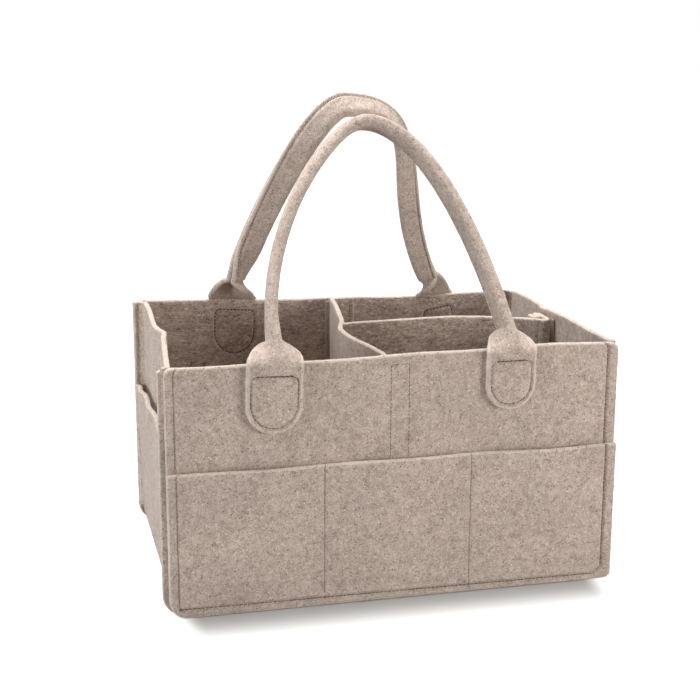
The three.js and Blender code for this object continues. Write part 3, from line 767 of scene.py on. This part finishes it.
# A leg's fold starts at foldFrom above the rim and is closed after foldLength, at the knot. Over rollOver it then
# turns on to its roll, of which it has the share knotRoll at the knot, reached late where rollLate is over 1
evenFold = {"foldFrom": -1, "foldLength": 18.6, "knotRoll": 0, "rollLate": 1, "rollOver": 22}
handles = {
    "front": {
        "facing": -1, "lean": 26, "crownX": -6.1, "crownUp": 183.6, "twist": (0.25, 0.42),
        "crownRoll": 10, "crownRollAt": 0,
        "legs": [{"footX": -85.3, "tilt": -6.6, "pull": 90.4, "crownPull": 20.9, "roll": -8, **evenFold},
                 {"footX": 85.5, "tilt": 10.7, "pull": 108.3, "crownPull": 37.3, "roll": 0, **evenFold}],
    },
    "back": {
        "facing": 1, "lean": 20, "crownX": -4, "crownUp": 184, "twist": (0.4, 0.6),
        "crownRoll": 72, "crownRollAt": 25,  # the crown's face is turned up as well
        "legs": [{"footX": -86.3, "tilt": 13, "pull": 70.5, "crownPull": 24, "roll": 92,
                  "foldFrom": -1, "foldLength": 27, "knotRoll": 0.48, "rollLate": 1.6, "rollOver": 34},
                 {"footX": 91.2, "tilt": 31, "pull": 112, "crownPull": 76, "roll": 90,
                  "foldFrom": -3, "foldLength": 24, "knotRoll": 0.8, "rollLate": 0.8, "rollOver": 25}],
    },
}


def bezier(points, count):
    a, b, c, d = (np.array(p, float) for p in points)
    t = np.linspace(0, 1, count)[:, None]
    return (1 - t) ** 3 * a + 3 * t * (1 - t) ** 2 * b + 3 * t * t * (1 - t) * c + t ** 3 * d


def archLine(arch, ends):
    # The middle of the strip on its own surface, with its flat ends
    foot = strip["freeDrop"] + strip["legStart"]
    crown = np.array([arch["crownX"], arch["crownUp"]], float)
    halves = []
    for side, leg, tab in zip((-1, 1), arch["legs"], ends):
        angle = radians(leg["tilt"])
        start = np.array([leg["footX"], foot], float)
        pull = start + leg["pull"] * np.array([-side * sin(angle), cos(angle)])
        top = crown + np.array([side * leg["crownPull"], 0])
        turn = radians(tab["turn"])
        flat = [(tab["x"] - s * sin(turn), s * cos(turn)) for s in (-tab["length"], strip["legStart"])]
        halves.append(np.concatenate([flat, bezier([start, pull, top, crown], 200)]))
    return np.concatenate([halves[0], halves[1][::-1][1:]])


def handle(end, arch):
    facing, ends, legs = arch["facing"], tabs[end], arch["legs"]
    line = resample(archLine(arch, ends), linePitch)
    line[:, 0] = soften(line[:, 0], strip["lineSoft"])
    reach = reachAlong(line)
    total = reach[-1]
    slope = np.stack([soften(np.gradient(line[:, k], reach), strip["slopeSoft"]) for k in (0, 1)], 1)
    slope /= np.linalg.norm(slope, axis=1)[:, None]
    crownAt = reach[line[:, 1].argmax()] + arch["crownRollAt"]
    tilts = [radians(tab["turn"]) for tab in ends]
    flatRuns = [(-sin(tilts[0]), sin(tilts[1])), (cos(tilts[0]), -cos(tilts[1]))]
    lean = radians(arch["lean"])
    radius = strip["foldRadius"]
    arc = radius * pi / 2
    depth = radius + strip["half"] - arc

    def flat(u, v):
        # Across the strip as cut, half its width there, and how far the nearer end is
        fromEnd = np.minimum(v, total - v)
        half = ends[0]["half"] + (ends[1]["half"] - ends[0]["half"]) * smooth(*strip["widthOver"], v / total)
        rounded = np.clip(half - fromEnd, 0, half)
        return u * np.sqrt(half ** 2 - rounded ** 2) / strip["half"], half, fromEnd

    def edge(u, v):
        across, half, fromEnd = flat(u, v)
        return half - np.hypot(across, np.maximum(half - fromEnd, 0))

    def place(u, v):
        u, _, fromEnd = flat(u, v)
        free = fromEnd - np.where(v < total / 2, *(tab["length"] for tab in ends)) - strip["freeDrop"]
        foldFrom, foldLength, knotRoll, rollLate, rollOver = (
            np.where(v < total / 2, legs[0][k], legs[1][k])
            for k in ("foldFrom", "foldLength", "knotRoll", "rollLate", "rollOver"))
        closing = np.clip((free - foldFrom) / foldLength, 0, 1)
        closed = np.arccos((1 - closing ** 2) ** strip["domePower"])
        toRight = smooth(*arch["twist"], v / total)
        roll = legs[0]["roll"] * (1 - toRight) + legs[1]["roll"] * toRight
        roll = np.radians(roll + arch["crownRoll"] * np.exp(-((v - crownAt) / strip["crownRollOver"]) ** 2))
        turnedOn = smooth(0, rollOver, free - foldFrom - foldLength)
        roll = roll * (knotRoll * (closed / (pi / 2)) ** rollLate + (1 - knotRoll) * turnedOn)
        angle = np.minimum(np.abs(u) / radius, closed)
        straight = np.abs(u) - radius * angle
        side = np.sign(u) * (radius * np.sin(angle) + straight * np.cos(angle))
        inward = radius * (1 - np.cos(angle)) + straight * np.sin(angle)
        across = side * np.cos(roll) + (inward - depth / 2) * np.sin(roll)
        inward = depth / 2 + (inward - depth / 2) * np.cos(roll) - side * np.sin(roll)

        x, up = (np.interp(v, reach, line[:, k]) for k in (0, 1))
        squared = smooth(*strip["squareOver"], free)
        runX, runUp = (np.interp(v, reach, slope[:, k]) * (1 - squared)
                       + squared * np.where(v < total / 2, *flatRuns[k]) for k in (0, 1))
        upright = strip["freeDrop"] + strip["rimGap"]
        turn = np.clip((up - upright) / (strip["rimBend"] * lean), 0, 1) * lean
        beyond = np.maximum(up - upright - strip["rimBend"] * lean, 0)
        leanIn = strip["rimBend"] * (1 - np.cos(turn)) + beyond * np.sin(turn)
        rise = np.minimum(up, upright) + strip["rimBend"] * np.sin(turn) + beyond * np.cos(turn)
        bulge = wallBulge(x, np.minimum(tabs["freeZ"] + rise, height)) * smooth(*strip["bulgeOver"], rise)
        px = x - runUp * across
        py = plyMiddle(0) - leanIn + bulge - runX * across * np.sin(turn) - inward * np.cos(turn)
        pz = tabs["freeZ"] + rise + runX * across * np.cos(turn) - inward * np.sin(turn)
        return np.stack([px, facing * py, pz], 1)

    oneSide = [*np.linspace(0, arc, 7)[1:], *gridLines(arc, strip["half"], strip["fineAcross"])[1:]]
    across = bothSides([0], oneSide)
    fine = [tab["length"] + strip["fineOver"] for tab in ends]
    along = gridLines(strip["endGap"], total - strip["endGap"], strip["step"], (),
                      [(0, fine[0]), (total - fine[1], total)])

    tabSewn = []
    for hand, tab in enumerate(ends):
        half, top = tab["half"], tab["length"] - tab["drop"]
        rows = [(x, up + tab["length"]) for x, up in tabStitches(tab)]
        rows = [(x * strip["half"] / sqrt(half ** 2 - max(half - v, 0) ** 2), v) for x, v in rows]
        locked = [(side * (half - strip["lockIn"]), top + strip["lockUp"]) for side in (-1, 1)]
        tabSewn += [[(x, total - v) if hand else (x, v) for x, v in row] for row in (rows, locked)]
    knots = [tab["length"] + strip["freeDrop"] + leg["foldFrom"] + leg["foldLength"] + strip["stitchFromKnot"]
             for tab, leg in zip(ends, legs)]
    runs = [[(s, knots[0]), (s, total - knots[1])]
            for s in (strip["stitchIn"] - strip["half"], strip["half"] - strip["stitchIn"])]
    share = pressed(("plain", tabSewn + runs))
    piece = feltSheet(f"{end}_handle_felt", across, along, place, share, edge,
                      lump=strip["lump"], cutShare=strip["cutShare"])
    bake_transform(piece)
    finishPiece(piece, None, [f"{end}_left_tab", f"{end}_right_tab", f"{end}_handle"])
    threads = sewing(f"{end}_handle_stitching", [onFace(place, share, row, facing) for row in tabSewn + runs])
    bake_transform(threads)
    finishPiece(threads, None)
    print(end, "handle strip", round(total), "mm long")


for end, arch in handles.items():
    handle(end, arch)


# Divider insert: a main divider from front to back and a cross divider sewn to it

insert = {
    "low": 11.3,
    "top": 179,
    "backRise": 2, "backRiseY": (30, 95),  # its back end stands higher, and its front end lower
    "frontDrop": 2, "frontDropY": (-88, -95), "riseFrom": 40,
    "waveFrom": 140, "waveShift": 15,
    "turn": 5,  # radius of the folded ends
    "frontX": -6.5, "backX": -1.5,
    "mainTipX": (16.5, 18.2),  # of the folded front and back ends
    "mainFlangeY": 96.9,
    # The main divider in plan, from front to back, between its folded ends
    "mainWeb": [(-84, -7.8), (-67, -9.9), (-52, -13.8), (-37, -17.2), (-20, -18.6), (-3, -17.4), (8, -14.2),
                (18, -11), (28, -8.6), (43, -6.6), (70, -3.2)],
    "mainSoft": 2.5,
    "mainSewn": (4, 14, -14, -4),  # rows of stitches, from one end or the other
    # And the cross divider from the main one to the right
    "crossWeb": [(-13, 7.2), (-8, 8.2), (-3, 9.3), (2, 10.4), (28, 14), (53, 15), (78, 14.3), (102, 10.8),
                 (122, 4), (133, 0), (139, -4)],
    "crossSoft": 1.2,
    "crossSewn": (-54,),
    "crossFold": (147.5, -12.5),  # its right end is folded here and lies along the right wall
    "crossFoldRun": (-1, 6),  # from the fold's pull to where it lies flat
    "crossFlangeX": 149.4,
    "crossRoll": (8.5, 0.5),  # between these it is rolled up in two more plies
    "crossTip": 1,
    "stitchEnds": 3,
    "step": 2.2, "rowStep": 4,
}


def arcPoints(x, y, radius, start, end):
    angles = np.radians(np.linspace(start, end, 13))
    return [(x + radius * cos(a), y + radius * sin(a)) for a in angles]


def mainPlan():
    turn, flangeY, tips = insert["turn"], insert["mainFlangeY"], insert["mainTipX"]
    front = [(tips[0], -flangeY)] + arcPoints(insert["frontX"] + turn, turn - flangeY, turn, -90, -180)
    back = arcPoints(insert["backX"] + turn, flangeY - turn, turn, 180, 90) + [(tips[1], flangeY)]
    return front + [(x, y) for y, x in insert["mainWeb"]] + back


def crossPlan():
    end, (foldX, foldY), flangeX = insert["crossWeb"][-1], insert["crossFold"], insert["crossFlangeX"]
    pulled, flat = ((flangeX, foldY + run) for run in insert["crossFoldRun"])
    bend = bezier([end, (foldX, foldY), pulled, flat], 24)
    radius, high, low = plyPitch / 2, *insert["crossRoll"]
    rolled = arcPoints(flangeX - radius, high, radius, 0, 180)
    rolled += arcPoints(flangeX - 3 * radius, low, radius, 0, -180)
    rolled += [(flangeX - 4 * radius, high - insert["crossTip"])]
    return insert["crossWeb"] + [tuple(p) for p in bend[1:]] + rolled


def divider(name, plan, soft, sewnAt):
    line = resample(plan, linePitch)
    line = np.stack([soften(line[:, k], round(soft / linePitch)) for k in (0, 1)], 1)
    reach = reachAlong(line)
    low, top, length = insert["low"], insert["top"], reach[-1]

    def place(u, v):
        x, y = (np.interp(u, reach, line[:, k]) for k in (0, 1))
        rise = (insert["backRise"] * smooth(*insert["backRiseY"], y)
                - insert["frontDrop"] * smooth(*insert["frontDropY"], y))
        wave = rimWave(u + insert["waveShift"], smooth(insert["waveFrom"], top, v))
        return np.stack([x, y, v + rise * smooth(insert["riseFrom"], top, v) + wave], 1)

    sewnU = [at if at > 0 else length + at for at in sewnAt]
    lines = [[(u, low + insert["stitchEnds"]), (u, top - insert["stitchEnds"])] for u in sewnU]
    share = pressed(("divider", lines))
    piece = feltSheet(f"{name}_felt", gridLines(0, length, insert["step"], sewnU),
                      gridLines(low, top, insert["rowStep"]), place, share)
    combAndShadeInside(piece, 1)
    finishPiece(piece, "divider_insert", [name])
    rows = [onFace(place, share, row, side) for row in lines for side in (-1, 1)]
    finishPiece(sewing(f"{name}_stitching", rows, tapeThread), "divider_insert")


divider("main_divider", mainPlan(), insert["mainSoft"], insert["mainSewn"])
divider("cross_divider", crossPlan(), insert["crossSoft"], insert["crossSewn"])
print("divider insert made")


# Hook and loop tape

tapes = {
    "loopWidth": 22, "hookWidth": 14, "thickness": 1.2, "loop": (30, 177), "hook": (40, 170), "step": 3,
    "off": 0.9,  # its middle, from the felt
    "lump": 0.1,
    "loopX": {"front": 0, "back": 6},
    "hookX": 9,
    "rightY": 3,
}
tapeOff = felt / 2 + tapes["off"]


def tape(end, kind, place, body, material, on):
    width, (low, top) = tapes[f"{kind}Width"], tapes[kind]
    name = f"{end}_{kind}_tape"
    piece = feltSheet(f"{name}_weave", gridLines(-width / 2, width / 2, tapes["step"]),
                      gridLines(low, top, tapes["step"]), place, thickness=tapes["thickness"], lump=tapes["lump"],
                      face=material, cut=material)
    finishPiece(piece, body, [name])


def wallTape(facing, depth, x, follows):
    def place(u, v):
        return np.stack([u + x, facing * (depth + follows * wallBulge(u + x, v)), v], 1)
    return place


def rightLoop(u, v):
    y = u + tapes["rightY"]
    return np.stack([endWallX - wallBow(np.ones(len(u)), y, v) - tapeOff, y, v], 1)


def rightHook(u, v):
    return np.stack([np.full(len(u), insert["crossFlangeX"] + tapeOff), u + tapes["rightY"], v], 1)


for end, facing in (("front", -1), ("back", 1)):
    loopPlace = wallTape(facing, plyMiddle(1) - tapeOff, tapes["loopX"][end], 1)
    hookPlace = wallTape(facing, insert["mainFlangeY"] + tapeOff, tapes["hookX"], 0)
    tape(end, "loop", loopPlace, "caddy", loopPile, f"{end}_panel_felt")
    tape(end, "hook", hookPlace, "divider_insert", hookField, "main_divider_felt")
tape("right", "loop", rightLoop, "caddy", loopPile, "gusset_felt")
tape("right", "hook", rightHook, "divider_insert", hookField, "cross_divider_felt")
print("tapes made")


# Floor, light and camera

stage = {
    "floorSize": 14,  # metres, as all lengths here
    "floor": "#b6b6b6",
    "surface": {"Roughness": 0.9, "Specular IOR Level": 0.0, "Emission Color": (1, 1, 1, 1)},
    "world": 0.1,
    "footprint": (0.14, 0.112, 0),  # half the area that the caddy stands on
    "shadowReach": (0.005, 0.062),  # from there to where the sweep is pure white
    "sideways": (2.5, 1, 1),  # the glow comes in this much sooner at the sides, so the painted shadow is shorter there
    "lampsAim": (0, 0, 0.15),
}


def seenRays(tree):
    # 1 for what the camera sees, 0 for the light that falls on the part
    rays = addNode(tree, "LightPath").node.outputs
    seen = rays["Is Camera Ray"]
    for kind in ("Is Glossy Ray", "Is Transmission Ray"):
        seen = addNode(tree, "Math", {}, {0: seen, 1: rays[kind]}, operation="MAXIMUM")
    return seen


bpy.ops.mesh.primitive_plane_add(size=stage["floorSize"])
floor = bpy.context.object
floor.name = "floor"
# Seen by the camera the sweep glows white away from the footprint. Near it the grey floor shows without glow, a
# painted shadow shaped by this fade, with the lamps' real shadow on it
material, tree, shader, away = newMaterial("white paper sweep", stage["surface"])
shader.inputs["Base Color"].default_value = hexColour(stage["floor"])
for operation, values in (("ABSOLUTE", {}), ("SUBTRACT", {1: stage["footprint"]}), ("MAXIMUM", {1: (0, 0, 0)}),
                          ("MULTIPLY", {1: stage["sideways"]})):
    away = addNode(tree, "VectorMath", values, {0: away}, operation=operation)
away = addNode(tree, "VectorMath", {}, {0: away}, "Value", operation="LENGTH")
white = addNode(tree, "MapRange", dict(zip(("From Min", "From Max"), stage["shadowReach"])),
                {"Value": away}, interpolation_type="SMOOTHSTEP")
lift = addNode(tree, "Math", {}, {0: seenRays(tree), 1: white}, operation="MULTIPLY")
tree.links.new(lift, shader.inputs["Emission Strength"])
floor.data.materials.append(material)

world = bpy.data.worlds.new("studio")
bpy.context.scene.world = world
world.use_nodes = True
tree = world.node_tree
background = tree.nodes["Background"]
strength = addNode(tree, "MapRange", {"To Min": stage["world"], "To Max": 1.0},
                   {"Value": seenRays(tree)})
background.inputs["Color"].default_value = (1, 1, 1, 1)
tree.links.new(strength, background.inputs["Strength"])

lamps = {
    "top": {"place": (-0.12, 0.2, 1.6), "size": 1.2, "power": 43, "colour": (1, 0.985, 0.965)},
    "left": {"place": (-1.55, -0.5, 0.27), "size": 0.55, "power": 13.7, "colour": (0.965, 0.985, 1)},
    "right": {"place": (0.92, -0.92, 0.36), "size": 0.6, "power": 11, "colour": (1, 0.965, 0.925)},
}
for name, settings in lamps.items():
    bpy.ops.object.light_add(type="AREA", location=settings["place"])
    lamp = bpy.context.object
    lamp.name = name
    lamp.data.size, lamp.data.energy, lamp.data.color = (settings[k] for k in ("size", "power", "colour"))
    aim = Vector(stage["lampsAim"]) - Vector(settings["place"])
    lamp.rotation_euler = aim.to_track_quat("-Z", "Y").to_euler()

view = {"azimuth": -13.97, "elevation": 13.73, "roll": 0.26, "target": (-8.74, 0, 159.51), "distance": 1082.12,
        "lens": 72.19, "sensor": 36}
a, e, r = (radians(view[k]) for k in ("azimuth", "elevation", "roll"))
back = Vector((sin(a) * cos(e), -cos(a) * cos(e), sin(e)))
right = Vector((cos(a), sin(a), 0))
up = back.cross(right)
right, up = cos(r) * right + sin(r) * up, -sin(r) * right + cos(r) * up
bpy.ops.object.camera_add(location=(Vector(view["target"]) + back * view["distance"]) * mm)
camera = bpy.context.object
camera.rotation_euler = Matrix((right, up, back)).transposed().to_euler()
camera.data.sensor_width = view["sensor"]
camera.data.lens = view["lens"]
bpy.context.scene.camera = camera
bpy.context.scene.view_settings.view_transform = "Standard"
print("stage set")
